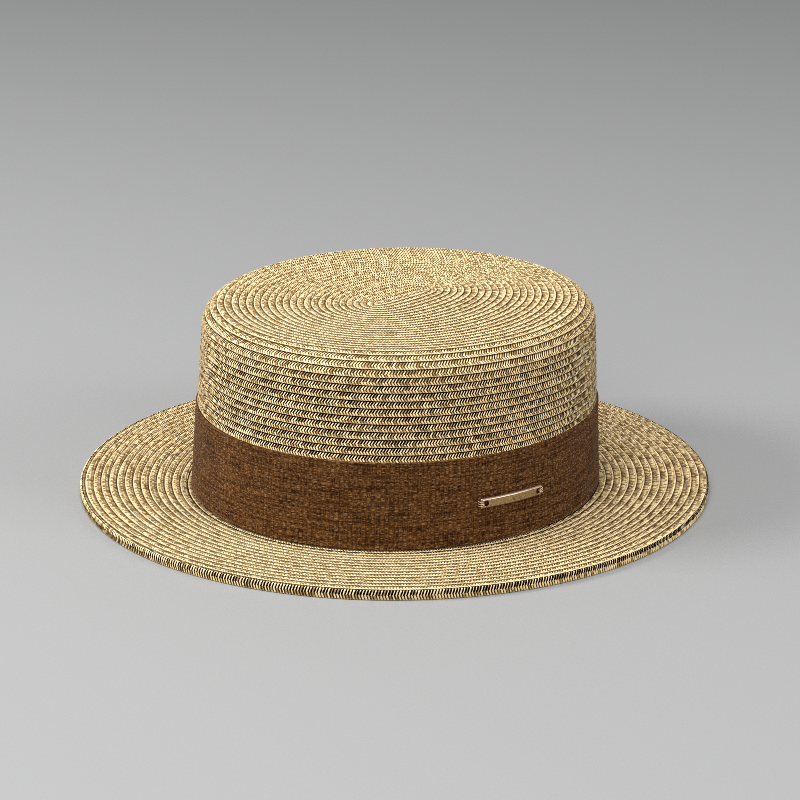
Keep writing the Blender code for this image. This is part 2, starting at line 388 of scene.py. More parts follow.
@dataclass
class NodeTree:
    """A material under construction, with short calls for the nodes that the finishes use."""

    name: str
    material: bpy.types.Material = field(init=False)
    shader: bpy.types.Node = field(init=False)

    def __post_init__(self) -> None:
        """Starts the material with its Principled shader."""
        self.material = bpy.data.materials.new(self.name)
        self.material.use_nodes = True
        self.shader = self.material.node_tree.nodes["Principled BSDF"]

    def feed(self, node: bpy.types.Node, values: dict[str | int, object]) -> None:
        """Links a node's sockets to outputs, or sets their values.

        Args:
            node: The node.
            values: Outputs, numbers or colours, by the socket's name or place.
        """
        for key, value in values.items():
            if isinstance(value, Socket):
                self.material.node_tree.links.new(value, node.inputs[key])
            else:
                node.inputs[key].default_value = value

    def node(self, kind: str, values: dict[str | int, object], **settings: object) -> bpy.types.Node:
        """Adds a node.

        Args:
            kind: The node's type.
            values: What its sockets take, by name or place.
            settings: Its properties.

        Returns:
            The node.
        """
        made = self.material.node_tree.nodes.new(kind)
        for key, value in settings.items():
            setattr(made, key, value)
        self.feed(made, values)
        return made

    def maths(self, operation: str, *values: Value, clamp: bool = False) -> Socket:
        """The result of a Math node."""
        made = self.node("ShaderNodeMath", dict(enumerate(values)), operation=operation, use_clamp=clamp)
        return made.outputs[0]

    def times(self, first: Socket, *others: Value) -> Socket:
        """The product of values.

        Args:
            first: The first value.
            others: The rest.

        Returns:
            The product.
        """
        for one in others:
            first = self.maths("MULTIPLY", first, one)
        return first

    def less(self, first: Value, second: Value) -> Socket:
        """The first value less the second."""
        return self.maths("SUBTRACT", first, second)

    def scaled(self, value: Socket, factor: float, offset: Value, clamp: bool = False) -> Socket:
        """A value times a factor plus an offset."""
        return self.maths("MULTIPLY_ADD", value, factor, offset, clamp=clamp)

    def total(self, first: Socket, *others: Socket, clamp: bool = False) -> Socket:
        """The sum of values.

        Args:
            first: The first value.
            others: The rest.
            clamp: Holds the sum between 0 and 1.

        Returns:
            The sum.
        """
        *early, last = others
        for one in early:
            first = self.maths("ADD", first, one)
        return self.maths("ADD", first, last, clamp=clamp)

    def ramp(
        self, value: Socket, low: Value, high: Value, start: float = 0.0, end: float = 1.0
    ) -> Socket:
        """A smooth step from start, at low, to end, at high."""
        values = dict(enumerate((value, low, high, start, end)))
        return self.node("ShaderNodeMapRange", values, interpolation_type="SMOOTHSTEP").outputs[0]

    def mixed(self, share: Socket, first: Socket | Colour, second: Socket | Colour) -> Socket:
        """The colour at a share of the way from one to another."""
        first, second = [(*one, 1) if isinstance(one, tuple) else one for one in (first, second)]
        return self.node("ShaderNodeMix", {0: share, 6: first, 7: second}, data_type="RGBA").outputs[2]

    def pattern(self, u: Socket, v: Socket, grain: Grain) -> Socket:
        """Noise from 0 to 1 at the vector (per_u u, per_v v, seed).

        Args:
            u: The first coordinate.
            v: The second coordinate.
            grain: The noise's sizes.

        Returns:
            The noise.
        """
        at = self.joined(self.times(u, grain.per_u), self.times(v, grain.per_v), grain.seed)
        values = {"Vector": at, "Scale": 1.0, "Detail": grain.detail}
        return self.node("ShaderNodeTexNoise", values).outputs["Fac"]

    def joined(self, *values: Value) -> Socket:
        """A vector from three numbers."""
        return self.node("ShaderNodeCombineXYZ", dict(enumerate(values))).outputs[0]

    def chance(self, *values: Value) -> Socket:
        """One random number for each whole-numbered vector of three values."""
        return self.node("ShaderNodeTexWhiteNoise", {"Vector": self.joined(*values)}).outputs["Value"]

    def weave(self) -> tuple[Socket, Socket]:
        """The two coordinates of the piece's own map."""
        uv = self.node("ShaderNodeUVMap", {}, uv_map="weave").outputs[0]
        return tuple(self.node("ShaderNodeSeparateXYZ", {0: uv}).outputs[:2])

    def bump(self, height: Socket, distance: float, strength: float = 1.0) -> None:
        """Bumps the shader's normal by a height from 0 to 1 times a distance in metres."""
        made = self.node("ShaderNodeBump", {"Strength": strength, "Distance": distance, "Height": height})
        self.feed(self.shader, {"Normal": made.outputs[0]})


@dataclass(frozen=True)
class StrawFinish:
    """Paper-straw braid. The map's first coordinate counts strands along a row and the second runs from
    0, tucked under the row before, to 1, at the row's free edge.

    Strands lie in chevrons: their phase is u - slant |v - fold|, so they lean one way above the fold and
    the other way below it. Between strands are slots, painted brown to black as shade, whose width varies
    from strand to strand and which fade towards the free edge. Painted shadow also lies in a line under the
    row before, and a painted highlight lies along the free edge of lying rows.
    """

    pale: Colour = (0.84, 0.685, 0.435)
    gold: Colour = (0.64, 0.46, 0.215)
    brown: Colour = (0.155, 0.084, 0.019)
    shade_black: Colour = (0.004, 0.0015, 0.0005)
    slant: float = 1.65
    fold: float = 0.61
    fold_blur: float = 0.04
    upper_width: float = 0.45
    lower_width: float = 0.62
    slot_blur: float = 0.05
    free_edge: float = 0.90
    edge_blur: float = 0.08
    roughness: float = 0.8
    specular: float = 0.10
    relief: float = 0.00026
    wander: Grain = Grain(0.05, 1.0, 0.0, 2.0)
    broken: Grain = Grain(0.30, 1.0, 3.0, 1.0)
    fibre: Grain = Grain(6.0, 3.0, 0.0, 2.0)
    clump: Grain = Grain(0.80, 2.3, 6.0, 1.0)
    blotch: Grain = Grain(0.30, 1.2, 16.0, 0.0)
    fleck: Grain = Grain(0.75, 2.6, 22.0, 0.0)
    patch: Grain = Grain(0.012, 1.0, 5.0, 3.0)

    def material(self, name: str) -> bpy.types.Material:
        """Wires the braid's nodes: strands in tints of their own, slots between them painted dark as shade,
        fine specks, the painted shadow line under the row before and a painted highlight on the free edge.

        Args:
            name: The material's name.

        Returns:
            The material.
        """
        tree = NodeTree(name)
        u, v = tree.weave()
        openness = tree.node("ShaderNodeAttribute", {}, attribute_name="openness").outputs["Fac"]
        phase = tree.less(u, tree.times(tree.maths("ABSOLUTE", tree.less(v, self.fold)), self.slant))
        strand = tree.maths("FLOOR", phase)
        off_strand = tree.times(tree.maths("ABSOLUTE", tree.less(tree.maths("FRACT", phase), 0.5)), 2.0)
        half = tree.ramp(v, self.fold - 0.001, self.fold + 0.001)
        free_half = tree.ramp(v, self.fold - self.fold_blur, self.fold + self.fold_blur)
        edge = tree.ramp(v, self.free_edge - self.edge_blur, self.free_edge)

        # A strand's width sets where its slot begins, and near the free edge the slot fades.
        width = tree.total(
            tree.scaled(free_half, self.lower_width - self.upper_width, self.upper_width),
            tree.scaled(openness, -0.22, 0.22),
            tree.scaled(tree.chance(strand, half, 8.0), 0.30, -0.15),
        )
        low, high = tree.less(width, self.slot_blur), tree.maths("ADD", width, self.slot_blur)
        slot = tree.ramp(off_strand, low, high)
        slot = tree.times(slot, tree.less(1.0, tree.times(edge, tree.scaled(openness, -0.6, 0.9))))

        # The shaded line: whole on upright rows, dotted on lying ones, and stronger in some stretches.
        broken = tree.ramp(tree.pattern(u, v, self.broken), 0.35, 0.55, 0.0, 0.8)
        dotted = tree.scaled(off_strand, 0.9, broken, clamp=True)
        line = tree.times(tree.ramp(v, 0.20, 0.13), tree.maths("MAXIMUM", dotted, openness))
        line = tree.times(
            tree.maths("MAXIMUM", line, tree.ramp(v, 1.02, 1.08)),
            tree.ramp(tree.pattern(u, v, self.wander), 0.25, 0.55, 0.70, 1.0),
            tree.scaled(openness, 0.65, 0.35),
        )

        # The tint between pale and gold: each strand's own, and soft noises of several sizes.
        fibre, clump = tree.pattern(phase, v, self.fibre), tree.pattern(u, v, self.clump)
        tint = tree.total(
            tree.scaled(tree.chance(strand, half, 3.0), 0.9, -0.40),
            tree.scaled(fibre, 0.6, -0.3),
            tree.scaled(tree.pattern(u, v, self.patch), 0.6, -0.3),
            tree.times(free_half, tree.scaled(openness, 0.38, 0.04)),
            tree.scaled(tree.pattern(u, v, self.blotch), 0.6, -0.3),
            tree.scaled(clump, 1.2, -0.6),
            # Painted highlight: on lying rows the free edge is tinted pale, where its lip catches the
            # light.
            tree.times(tree.less(1.0, openness), tree.scaled(edge, -0.80, 0.06)),
            clamp=True,
        )
        colour = tree.mixed(tint, self.pale, self.gold)

        # Towards brown: dim strands, small holes and, on lying rows, painted shade over the tucked half,
        # where the row dips like a soft groove.
        dim = tree.maths("ADD", tree.chance(strand, half, 12.0), tree.times(clump, 0.8))
        holes = tree.ramp(tree.pattern(u, v, self.fleck), 0.55, 0.61)
        for share in (
            tree.times(tree.ramp(dim, 1.06, 1.16), tree.scaled(edge, -0.7, 1.0), 0.7),
            tree.times(holes, tree.scaled(edge, -0.8, 1.0), tree.scaled(openness, -0.75, 0.78, clamp=True)),
            tree.times(tree.ramp(v, 0.50, 0.14), tree.scaled(openness, -0.85, 0.86, clamp=True)),
        ):
            colour = tree.mixed(share, colour, self.brown)

        # Painted shade in the slots: brown, going to black on upright rows, which shade their own slots,
        # and less in the free half.
        depth = tree.times(openness, tree.scaled(free_half, -0.45, 1.0))
        colour = tree.mixed(slot, colour, tree.mixed(depth, self.brown, self.shade_black))
        colour = tree.mixed(line, colour, self.shade_black)
        values = {"Base Color": colour, "Roughness": self.roughness, "Specular IOR Level": self.specular}
        tree.feed(tree.shader, values)
        rounded = tree.less(1.0, tree.times(off_strand, off_strand))
        tree.bump(tree.scaled(fibre, 0.25, tree.scaled(slot, -0.6, rounded)), self.relief)
        return tree.material


@dataclass(frozen=True)
class RibbonFinish:
    """Linen-look ribbon. The map counts millimetres along and across it. Dark yarns cross each other;
    flecks of pale yarn show where one lies on top, in runs a few steps long, and slubs are noise drawn
    out along the ribbon and, fainter, across it."""

    dark: Colour = (0.024, 0.0075, 0.0012)
    middle: Colour = (0.124, 0.057, 0.017)
    light: Colour = (0.31, 0.190, 0.100)
    step: float = 0.42
    roughness: float = 0.8
    specular: float = 0.12
    sheen: float = 0.04
    sheen_roughness: float = 0.4
    relief: float = 0.00012
    slub: Grain = Grain(0.055, 1.15, 7.0, 3.0)
    drop: Grain = Grain(1.7, 0.09, 9.0, 3.0)
    weft: Grain = Grain(0.50, 1.0, 1.0, 3.0)
    warp: Grain = Grain(0.50, 1.0, 2.0, 3.0)

    def material(self, name: str) -> bpy.types.Material:
        """Wires the ribbon's nodes: crossing yarns, pale flecks, slubs both ways and a soft sheen.

        Args:
            name: The material's name.

        Returns:
            The material.
        """
        tree = NodeTree(name)
        u, v = tree.weave()
        weft, warp = [
            tree.pattern(along, tree.maths("FLOOR", tree.maths("DIVIDE", across, self.step)), grain)
            for along, across, grain in ((u, v, self.weft), (v, u, self.warp))
        ]
        slub, drop = tree.pattern(u, v, self.slub), tree.pattern(u, v, self.drop)
        slubs = tree.scaled(slub, 0.9, tree.times(drop, 0.7))
        tone = tree.maths("ADD", slubs, tree.scaled(weft, 0.8, tree.times(warp, 0.35)))
        colour = tree.mixed(tree.ramp(tone, 1.10, 1.62), self.dark, self.middle)
        pale_weft = tree.ramp(weft, 0.50, 0.64, 0.0, 0.75)
        pale_warp = tree.ramp(warp, 0.54, 0.68, 0.0, 0.60)
        pale = tree.maths("MAXIMUM", pale_weft, pale_warp)
        fleck = tree.times(pale, tree.ramp(slub, 0.30, 0.62, 0.15, 0.8))
        values = {
            "Base Color": tree.mixed(fleck, colour, self.light),
            "Roughness": self.roughness,
            "Specular IOR Level": self.specular,
            "Sheen Weight": self.sheen,
            "Sheen Roughness": self.sheen_roughness,
        }
        tree.feed(tree.shader, values)
        waves = [tree.maths("SINE", tree.times(one, math.pi / self.step)) for one in (u, v)]
        yarns = [tree.maths("ABSOLUTE", wave) for wave in waves]
        crossing = tree.times(tree.maths("ADD", *yarns), 0.3)
        tree.bump(tree.scaled(tone, 0.5, crossing), self.relief, 0.8)
        return tree.material


@dataclass(frozen=True)
class SatinMetalFinish:
    """Rose-gold plate: a darker satin face between two polished bevels. The map is in millimetres."""

    face: Colour = (0.50, 0.38, 0.22)
    deeper: Colour = (0.36, 0.26, 0.14)
    polished: Colour = (0.44, 0.325, 0.255)
    bevel_from: float = 1.55
    bevel_blur: float = 0.08
    cloud: Grain = Grain(1.3, 1.3, 5.2, 3.0)

    def material(self, name: str) -> bpy.types.Material:
        """Wires the plate's nodes: cloudy satin on the face, and the polished bevels beyond it.

        Args:
            name: The material's name.

        Returns:
            The material.
        """
        tree = NodeTree(name)
        u, v = tree.weave()
        cloud = tree.pattern(u, v, self.cloud)
        bevel = tree.ramp(tree.maths("ABSOLUTE", v), self.bevel_from, self.bevel_from + self.bevel_blur)
        satin = tree.mixed(tree.ramp(cloud, 0.35, 0.65), self.deeper, self.face)
        colour = tree.mixed(bevel, satin, self.polished)
        rough = tree.scaled(cloud, 0.12, 0.34)
        tree.feed(tree.shader, {"Base Color": colour, "Metallic": 1.0, "Roughness": rough})
        tree.bump(cloud, 0.00002, 0.4)
        return tree.material


@dataclass(frozen=True)
class ThreadFinish:
    """Twisted sewing thread: tan, with painted shade in a spiral along the grooves between its plies.
    The map's first coordinate runs round the thread and the second counts twists along it."""

    light: Colour = (0.78, 0.62, 0.45)
    dark: Colour = (0.30, 0.19, 0.10)
    roughness: float = 0.6
    relief: float = 0.00006

    def material(self, name: str) -> bpy.types.Material:
        """Wires the thread's nodes: a slanting stripe of painted shade in the grooves between its plies.

        Args:
            name: The material's name.

        Returns:
            The material.
        """
        tree = NodeTree(name)
        u, v = tree.weave()
        ply = tree.maths("FRACT", tree.scaled(u, 2.0, v))
        ridge = tree.maths("ABSOLUTE", tree.scaled(ply, 2.0, -1.0))
        # Painted shade: the thread goes dark towards the grooves between its plies.
        colour = tree.mixed(tree.ramp(ridge, 0.45, 0.95), self.light, self.dark)
        tree.feed(tree.shader, {"Base Color": colour, "Roughness": self.roughness})
        tree.bump(tree.less(1.0, ridge), self.relief)
        return tree.material


def lying_open(distance: np.ndarray) -> np.ndarray:
    """Openness of rows that lie flat, the same at every distance."""
    return np.full_like(distance, Openness.LYING.value)


@dataclass
class BraidSpiral:
    """One long braid sewn round and round: a narrow strip whose path is a spiral, each turn one row
    further along a line, with its free edge standing proud over the row after it. Inward rows are plain
    and stand off the line's other side."""

    name: str
    line: Line
    start: float
    end: float
    pitch: float
    seed: int
    columns: int
    openness: Along = lying_open
    fade: Along = np.ones_like
    inward: bool = False
    wobble: float = 0.00010
    wobble_turns: float = 0.21
    riser_share: float = 1.15
    sharp: float = 28.0

    def build(self, material: bpy.types.Material) -> bpy.types.Object:
        """Makes the strip, and the short risers that join each free edge to the row after it.

        At path place p, turns since the start are w = p / columns - 1. A point at share v across the
        strip lies at distance start + pitch (w + v) + waviness, held between start and end, and stands
        off the line by step h(v). A riser runs from v = 1 at p to v = 0 at p + columns, which have the
        same distance, so the surface has no gap.

        Args:
            material: The finish.

        Returns:
            The piece.
        """
        shares, heights = np.array(PLAIN_ROW if self.inward else FACE_ROW).T
        if self.inward:
            shares, heights = 1.0 - shares[::-1], heights[::-1]
        across, columns = len(shares), self.columns
        rows = math.ceil((self.end - self.start) / self.pitch) + 1
        place = np.arange(rows * columns + 1)
        turn = 2 * math.pi * (place % columns) / columns
        waves = smooth_noise(np.arange(len(place) + columns) / columns, self.seed, self.wobble_turns)
        wave = self.wobble * waves
        shift = wave[place, None] * (1 - shares) + wave[place + columns, None] * shares
        turns = place / columns - 1.0
        wanted = self.start + self.pitch * (turns[:, None] + shares) + shift
        at = np.clip(wanted, self.start, self.end)
        true_share = np.clip(shares + (at - wanted) / self.pitch, 0.0, 1.0)
        stand = SHAPE.row_step * np.interp(true_share, shares, heights) * self.fade(at)
        stand = -stand if self.inward else stand
        half, up, out, over = self.line(at)
        points = SHAPE.points(half + stand * out, up + stand * over, turn[:, None])
        count = travelled(*points[:, across // 2].T) / SHAPE.strand_pitch

        p, j = np.meshgrid(place[:-1], np.arange(across - 1), indexing="ij")
        corners = ((0, 0), (0, 1), (1, 1), (1, 0))
        strip = np.stack([(p + i) * across + j + k for i, k in corners], -1)
        strip_uv = np.stack(
            [np.stack([count[p + i], true_share[p + i, j + k]], -1) for i, k in corners], -2
        )
        wide = np.diff(at, axis=1) > 1e-8
        kept = wide[:-1] | wide[1:]

        # The risers' map runs on past 1, to riser_share, where the finish paints them dark as shadow under
        # the free edge.
        q, last = place[: -columns - 1], across - 1
        near, far = q * across + last, (q + columns) * across
        riser = np.stack([near, far, far + across, near + across], -1)
        ends = ((0, 1.0), (0, self.riser_share), (1, self.riser_share), (1, 1.0))
        riser_uv = np.stack([np.stack([count[q + i], np.full(len(q), share)], -1) for i, share in ends], -2)
        inside = (wanted[q, last] > self.start) & (wanted[q, last] < self.end)

        faces = np.concatenate([strip[kept], riser[inside]])
        uv = np.concatenate([strip_uv[kept], riser_uv[inside]])
        if self.inward:
            faces, uv = faces[:, ::-1], uv[:, ::-1]
        used, faces = np.unique(faces, return_inverse=True)
        opened = self.openness(at).reshape(-1)[used]
        patch = Patch(points.reshape(-1, 3)[used], faces.reshape(-1, 4), uv)
        return patch.piece(self.name, material, opened, self.sharp)


@dataclass
class Crown:
    """The crown: the tip, the side down to the ribbon and a plain foot behind it, and the inside."""

    shape: HatShape = SHAPE
    finish: StrawFinish = StrawFinish()
    tip_rows: int = 25
    tucked_under_ribbon: float = 0.0022
    rise_at_start: float = 0.002
    fall_at_ribbon: float = 0.0012
    shading_overrun: float = 0.004
    tip_columns: int = 480
    side_columns: int = 640
    foot_strands: int = 430
    foot_rows: int = 12

    @property
    def tip_end(self) -> float:
        """Distance at which the tip's piece meets the side's, a whole number of rows."""
        return self.tip_rows * self.shape.row_pitch

    @property
    def ribbon_line(self) -> float:
        """Distance at which the rows end, a little under the ribbon's upper edge."""
        return self.shape.distance_at(self.shape.band_top) + self.tucked_under_ribbon

    def opened(self, distance: np.ndarray) -> np.ndarray:
        """Openness of the slots: the lying rows' on the tip, rising round the corner as share^1.5.

        Args:
            distance: Distances along the crown's line.

        Returns:
            The openness at each.
        """
        reach = self.shape.corner_length + self.shading_overrun
        share = np.clip((distance - self.shape.tip_reach) / reach, 0, 1)
        return Openness.LYING.value + (Openness.UPRIGHT.value - Openness.LYING.value) * share**1.5

    def from_start(self, distance: np.ndarray) -> np.ndarray:
        """The rows rise from nothing over the first millimetres of the tip."""
        return np.clip(distance / self.rise_at_start, 0.0, 1.0)

    def to_ribbon(self, distance: np.ndarray) -> np.ndarray:
        """The rows lie flat under the ribbon."""
        return np.clip((self.ribbon_line - distance) / self.fall_at_ribbon, 0.0, 1.0)

    def foot(self, material: bpy.types.Material) -> bpy.types.Object:
        """The plain part behind the ribbon: a straight line from the last row to the foot, turned.

        Args:
            material: The finish.

        Returns:
            The piece.
        """
        at = np.linspace(self.ribbon_line, self.shape.crown_length, 4)
        half, up, _, _ = self.shape.crown_line(at)
        half = np.append(half, self.shape.foot - self.shape.straw_wall)
        up = np.append(up, self.shape.foot_height)
        points = self.shape.points(half[:, None], up[:, None], full_turn(PLAIN_COLUMNS)[None])
        along = np.linspace(0, self.foot_strands, PLAIN_COLUMNS + 1)
        across = np.linspace(0, self.foot_rows, len(up))[:, None]
        return Patch.grid(points, along, across).piece("crown_foot", material, Openness.LYING.value)

    def build(self) -> list[bpy.types.Object]:
        """Builds the tip, the side, the foot and the inside.

        Returns:
            The four pieces, in that order.
        """
        outer = self.finish.material("straw_crown")
        inner = self.finish.material("straw_inside")
        shape, pitch = self.shape, self.shape.row_pitch
        tip = BraidSpiral(
            "tip_braid", shape.crown_line, 0.0, self.tip_end, pitch,
            seed=3, columns=self.tip_columns, openness=self.opened, fade=self.from_start,
        )
        side = BraidSpiral(
            "side_braid", shape.crown_line, self.tip_end, self.ribbon_line, pitch,
            seed=4, columns=self.side_columns, openness=self.opened, fade=self.to_ribbon,
        )
        lining = BraidSpiral(
            "inside_braid", shape.inner_line, 0.0, shape.crown_length, pitch,
            seed=5, columns=PLAIN_COLUMNS, fade=self.from_start, inward=True,
        )
        return [tip.build(outer), side.build(outer), self.foot(outer), lining.build(inner)]


@dataclass
class Brim:
    """The brim's upper rows, whose last lies over the edge row, and its plain-rowed underside with the
    two walls that close it."""

    shape: HatShape = SHAPE
    finish: StrawFinish = StrawFinish()
    rows: int = 14
    columns: int = 640
    under_columns: int = 320
    lip: float = 0.0009
    shade_by_ribbon: float = 0.95
    shade_from: float = 0.0035
    shade_blur: float = 0.002
    wall_strands: int = 600
    wall_shares: tuple[float, float] = (0.2, 0.9)

    def opened(self, distance: np.ndarray) -> np.ndarray:
        """Openness of the slots: high in the first row, by the ribbon, then the lying rows'."""
        share = np.clip((distance - self.shade_from) / self.shade_blur, 0.0, 1.0)
        return self.shade_by_ribbon + (Openness.LYING.value - self.shade_by_ribbon) * share

    def closing(self, material: bpy.types.Material) -> bpy.types.Object:
        """The brim's upright inner and outer edges, each a short turned wall.

        Args:
            material: The finish.

        Returns:
            The two walls, as one piece.
        """
        along = np.linspace(0, self.wall_strands, PLAIN_COLUMNS + 1)
        across = np.array(self.wall_shares)[:, None]
        walls = []
        for distance, flip in ((self.shape.brim_width, False), (0.0, True)):
            (half,), (high,), _, _ = self.shape.brim_line(np.array([distance]))
            up = np.array([[high], [high - self.shape.straw_wall]])
            points = self.shape.points(np.full((2, 1), half), up, full_turn(PLAIN_COLUMNS)[None])
            walls.append(Patch.grid(points, along, across, flip))
        return Patch.joined(walls).piece("brim_walls", material, Openness.LYING.value)

    def build(self) -> list[bpy.types.Object]:
        """Builds the upper side, the underside and the closing walls.

        Returns:
            The three pieces, in that order.
        """
        material = self.finish.material("straw_brim")
        shape, width = self.shape, self.shape.brim_width
        reach = width + self.lip
        pitch = reach / self.rows
        top = BraidSpiral(
            "brim_braid", shape.brim_line, 0.0, reach, pitch,
            seed=6, columns=self.columns, openness=self.opened,
        )
        under = BraidSpiral(
            "brim_underside", shape.under_line, 0.0, width, pitch,
            seed=7, columns=self.under_columns, inward=True,
        )
        return [top.build(material), under.build(material), self.closing(material)]


@dataclass
class EdgeRow:
    """The last row of braid, turned down over the brim's edge, with its strands in real relief."""

    shape: HatShape = SHAPE
    finish: StrawFinish = StrawFinish()
    samples_per_strand: int = 4
    relief: float = 0.00016
    rounding: float = 0.0006
    relief_room: float = 0.0002
    tuck: float = 0.0008
    tuck_width: float = 0.0006
    foot_width: float = 0.0003
    smooth_foot: float = 0.0008
    overrun: float = 0.0004

    def section(self) -> tuple[np.ndarray, np.ndarray, np.ndarray]:
        """The row's closed section: out over the top, down the outside, and back up the inside.

        Returns:
            Half-width and height of each point, and its share across the braid from 0 to 1.
        """
        inside = self.shape.brim_outside + self.shape.clearance
        outside = inside + self.shape.edge_thickness
        top, soft = self.shape.edge_height - self.relief_room, self.rounding
        tucked = top - self.tuck
        turn = np.linspace(0, math.pi / 2, 4)
        sine, cosine = soft * np.sin(turn), soft * np.cos(turn)
        half = [
            [inside, inside + self.tuck_width],
            outside - soft + sine,
            np.full(3, outside),
            outside - soft + cosine,
            [inside + self.foot_width, inside],
        ]
        up = [
            [tucked, tucked],
            top - soft + cosine,
            np.linspace(top - soft, soft, 5)[1:4],
            soft - sine,
            [0.0, 0.0],
        ]
        half, up = np.concatenate(half), np.concatenate(up)
        length = travelled(half, up)
        return half, up, np.clip(length / length[-3], 0.0, 1.0)

    def build(self) -> list[bpy.types.Object]:
        """Carries the section round the brim. Strand relief is relief cos(2 pi phase) outwards, where
        phase is the strand count less the slant times |share - 1/2|, and none at the foot.

        Returns:
            The one piece, in a list.
        """
        half, up, share = self.section()
        size = np.linspace(0, 2 * math.pi, 4001)
        ring = self.shape.points(np.full_like(size, half.max()), 0.0, size)
        length = travelled(ring[:, 0], ring[:, 1])
        strands = round(length[-1] / self.shape.strand_pitch)
        columns = strands * self.samples_per_strand
        turn = np.interp(np.arange(columns) / columns * length[-1], length, size)
        count = np.arange(columns + 1) / self.samples_per_strand
        phase = count[None, :-1] - self.finish.slant * np.abs(share[:, None] - 0.5)
        bulge = np.cos(2 * math.pi * (phase - 0.5)) * self.relief
        shown = np.interp(up, [0.0, self.smooth_foot], [0.0, 1.0]) * (half > half.min() + 1e-6)
        outwards = np.interp(half, [half.min(), half.max()], [0.3, 1.0])
        grown = half[:, None] - self.relief + bulge * shown[:, None] * outwards[:, None]
        upwards = shown * (up > self.shape.edge_height - self.rounding)
        raised = up[:, None] + bulge * 0.5 * upwards[:, None]
        raised = np.minimum(raised, self.shape.edge_height + self.overrun)
        points = self.shape.points(grown, raised, turn[None])
        closed = np.concatenate([points, points[:1]])
        # The finish paints shade where the share is near 0 or past 1: on the tucked top under the brim's
        # lip and on the closing inner face.
        patch = Patch.grid(closed, count, np.append(share, 1.2)[:, None])
        return [patch.piece("edge_braid", self.finish.material("straw_edge"), Openness.UPRIGHT.value, 60)]


@dataclass
class Ribbon:
    """The ribbon round the crown's foot and its folded end over the join at the back."""

    shape: HatShape = SHAPE
    finish: RibbonFinish = RibbonFinish()
    thickness: float = 0.0010
    selvedge: float = 0.0007
    edge_round: float = 0.0002
    back_round: float = 0.0004
    border: float = 0.002
    ripple: float = 0.00008
    ripple_turns: float = 0.06
    ripple_seed: int = 11
    columns: int = 720
    lap_width: float = 0.014
    lap_map_start: float = 37.0

    def section(self) -> tuple[np.ndarray, np.ndarray]:
        """The ribbon's closed section: up the outside and back down the inside. Each long edge is a half
        round with a thin ridge, the selvedge, just inside it.

        Returns:
            Stand-off and height of each point.
        """
        low, high = self.shape.band_foot, self.shape.band_top
        rim = np.array([0.0, self.edge_round, self.selvedge * 0.6, self.selvedge, self.selvedge * 1.6])
        ridge = np.array([0.55, 0.85, 1.0, 0.93, 0.86]) * self.thickness
        middle = np.linspace(low + self.border, high - self.border, 12)
        back = [high, high - self.back_round, low + self.back_round, low]
        heights = np.concatenate([low + rim, middle, (high - rim)[::-1], back])
        inner = np.array([0.1, 0.0, 0.0, 0.1]) * self.thickness
        offs = np.concatenate([ridge, np.full(len(middle), ridge[-1]), ridge[::-1], inner])
        return offs, heights

    def build(self) -> list[bpy.types.Object]:
        """The outside stands off by the section plus a ripple, which is widest half-way up.

        Returns:
            The ribbon and its lap.
        """
        material = self.finish.material("brown_linen")
        offs, heights = self.section()
        rise = self.shape.band_top - self.shape.band_foot
        ease = np.sin(math.pi * np.clip((heights - self.shape.band_foot) / rise, 0, 1))[:, None]
        fine = np.arange(self.columns // 2) / self.columns
        ripple = smooth_noise(np.concatenate([fine, fine[::-1]]), self.ripple_seed, self.ripple_turns)
        outer = (offs > 0.3 * self.thickness)[:, None]
        rippled = outer * self.ripple * ripple[None] * (0.4 + 0.6 * ease)
        stand = self.shape.clearance + offs[:, None] + rippled
        half = self.shape.side_at(heights)[:, None] + stand
        points = self.shape.points(half, heights[:, None], full_turn(self.columns)[None])
        ring = points[len(points) // 3, :, :2]
        length = travelled(*np.concatenate([ring, ring[:1]]).T)
        width = travelled(offs, heights)
        width = np.append(width, width[-1] + 0.0005)
        closed = np.concatenate([points, points[:1]])
        patch = Patch.grid(closed, length * MILLI, (width * MILLI)[:, None], flip=True)
        ribbon = patch.piece("ribbon", material)
        lap = self.lap(material)
        return [ribbon, lap]

    def lap(self, material: bpy.types.Material) -> bpy.types.Object:
        """The folded end: a section closed round its own width, rounded at both sides, carried up the
        ribbon.

        At share s along the section the lap spans its width twice, outside and back, and stands off by
        thickness times the fourth root of 1 - (2s - 1)^4, which is flat with round ends.

        Args:
            material: The finish.

        Returns:
            The piece.
        """
        low, high = self.shape.band_foot, self.shape.band_top
        levels = np.linspace(low, high, 14)
        heights = np.concatenate([[low], levels, [high]])
        swell = np.concatenate([[0.35], np.ones(len(levels)), [0.35]])
        share = np.sin(np.linspace(-math.pi / 2, math.pi / 2, 25)) / 2 + 0.5
        bulge = np.power(np.clip(1 - (2 * share - 1) ** 4, 0, 1), 0.25) * self.thickness
        place = np.concatenate([share, share[::-1][1:-1]])
        rise = np.concatenate([bulge, np.zeros(len(share) - 2)])
        turn = math.pi / 2 + self.lap_width / self.shape.side_at(low) * (0.5 - place)
        stand = self.shape.clearance * 2 + self.thickness + rise[None] * swell[:, None]
        half = self.shape.side_at(heights)[:, None] + stand
        points = self.shape.points(half, heights[:, None], turn[None])
        middle = np.broadcast_to(points.mean(axis=1, keepdims=True), points.shape)
        capped = np.concatenate([middle[:1], points, middle[-1:]])
        along = np.append(place, place[0]) * self.lap_width * MILLI + self.lap_map_start
        across = np.concatenate([heights[:1], heights, heights[-1:]]) * MILLI
        return Patch.grid(capped, along, across[:, None]).piece("ribbon_lap", material)


